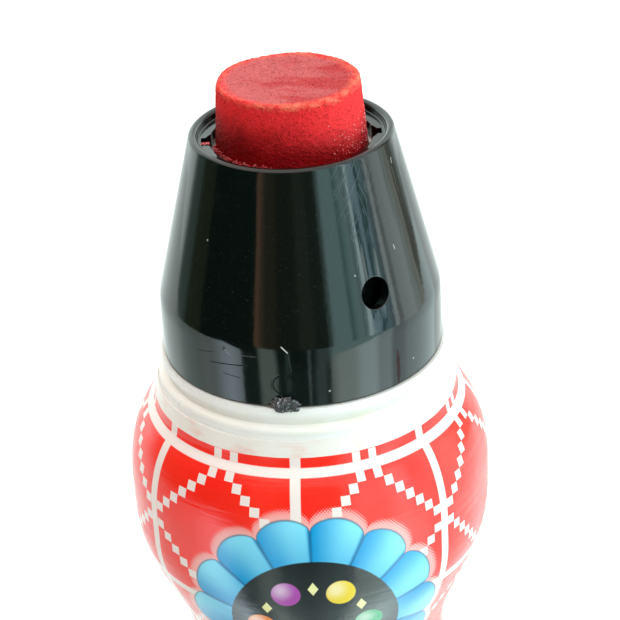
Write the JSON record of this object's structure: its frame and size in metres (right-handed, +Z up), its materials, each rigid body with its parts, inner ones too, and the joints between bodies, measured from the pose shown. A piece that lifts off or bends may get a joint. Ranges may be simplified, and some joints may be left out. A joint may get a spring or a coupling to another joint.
{
  "type": "bingo dauber",
  "caption": "Waisted squeeze bottle with a printed shrink film, a black conical collar and a round foam tip on a spring valve, shown without its overcap.",
  "frame": {"origin": "centre of the flat ring on which the bottle stands, on the table's surface", "axes": "+Z up through the foam tip, -Y the front that the picture shows, +X to its right"},
  "size_m": [0.0444, 0.0444, 0.1214],
  "materials": {
    "bottle": "translucent milky polyethylene",
    "film": "printed shrink film",
    "collar": "glossy black polypropylene",
    "foam": "inked porous foam",
    "holder": "natural polyethylene",
    "poppet": "natural polypropylene",
    "disc": "matt rubber",
    "spring": "drawn stainless wire",
    "seat": "natural polyethylene",
    "gasket": "foamed polyethylene"
  },
  "bodies": {
    "bottle_and_collar": {"bottle": "bottle", "shrink_sleeve": "film", "collar": "collar", "valve_seat": "seat", "neck_gasket": "gasket", "valve_spring": "spring"},
    "tip": {"foam_tip": "foam", "tip_holder": "holder", "valve_poppet": "poppet", "valve_disc": "disc"}
  },
  "joints": [
    {"name": "tip_press", "type": "slide", "parent": "bottle_and_collar", "child": "tip", "axis": [0, 0, -1], "range_m": [0, 0.0015], "stiffness_N_per_m": 400, "springref_m": -0.002, "deforming": ["valve_spring"]}
  ]
}
